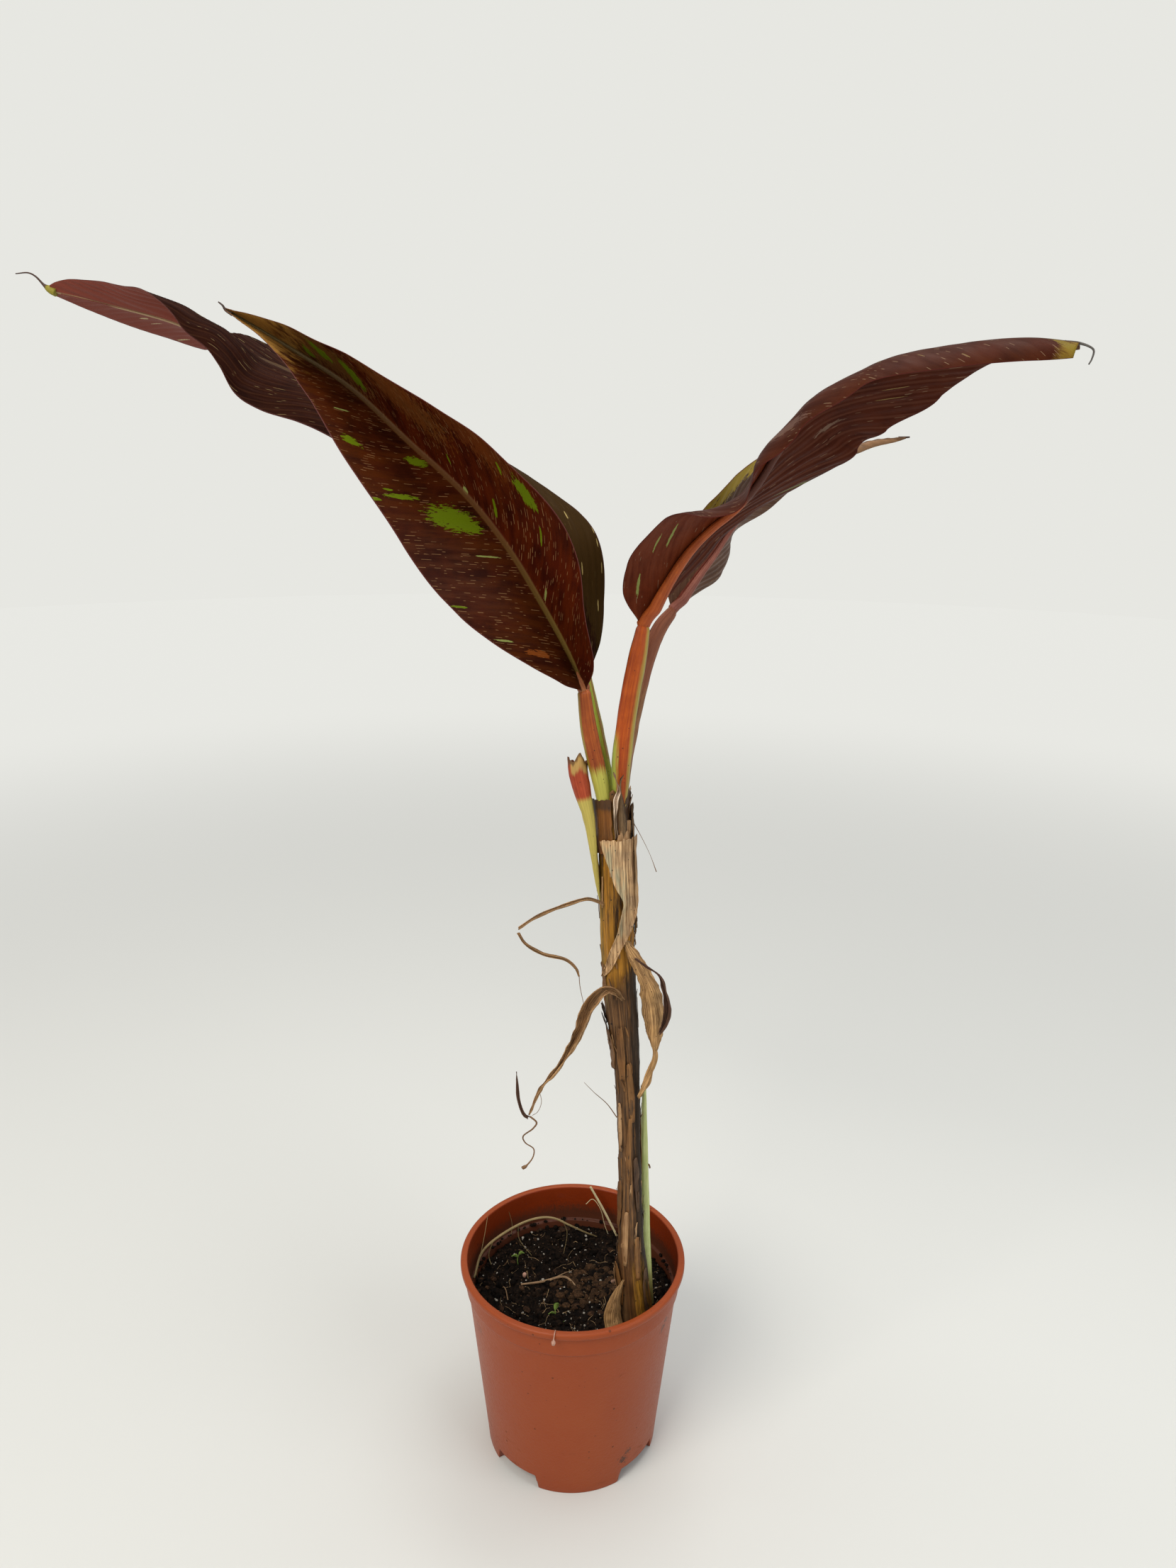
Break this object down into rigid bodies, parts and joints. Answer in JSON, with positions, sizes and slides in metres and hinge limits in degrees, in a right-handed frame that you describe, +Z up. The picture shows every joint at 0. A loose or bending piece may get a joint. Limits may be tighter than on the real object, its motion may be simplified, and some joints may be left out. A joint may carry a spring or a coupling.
{
  "type": "potted red-leaf banana plant",
  "caption": "Young red-leaf banana plant in a round terracotta-coloured plastic nursery pot: slim leaning trunk, four dark maroon blades, dried old sheaths, a cut leaf stub and heaped potting soil.",
  "frame": {"origin": "middle of the pot's underside, on the floor", "axes": "+X right, +Y to the back, +Z up"},
  "size_m": [0.7227, 0.3507, 0.9741],
  "materials": {
    "pot_plastic": "satin terracotta-coloured plastic, lightly scuffed and dusty",
    "soil": "dark crumbly potting mix with pale specks",
    "trunk_skin": "amber and brown sheath skin with black weathering",
    "stalk_red": "waxy orange-red with green margins",
    "stalk_brown": "waxy red-brown",
    "leaf_blade": "dark maroon blade with fine parallel veins, green patches on the left leaves",
    "sheath_green": "smooth pale green",
    "stub_flesh": "coral-red cut flesh over a yellow-green sheath",
    "dry_leaf": "papery brown dried leaf",
    "dry_sheath": "papery dried sheath, beige to dark brown"
  },
  "bodies": {
    "root": {"pot": "pot_plastic", "soil": "soil", "trunk": "trunk_skin", "stalk_left_front": "stalk_red", "stalk_left_back": "stalk_red", "stalk_right_front": "stalk_red", "stalk_right_back": "stalk_brown", "leaf_left_lower": "leaf_blade", "leaf_left_upper": "leaf_blade", "leaf_right_front": "leaf_blade", "leaf_right_back": "leaf_blade", "old_sheath_green": "sheath_green", "cut_stub": "stub_flesh", "dried_leaf_left": "dry_leaf", "dried_leaf_left_tip": "dry_leaf", "dried_leaf_right": "dry_leaf", "dried_strip_upper": "dry_leaf", "dried_strip_lower": "dry_leaf", "sheath_brown": "dry_sheath", "sheath_beige": "dry_sheath", "sheath_dark": "dry_sheath"}
  },
  "joints": []
}
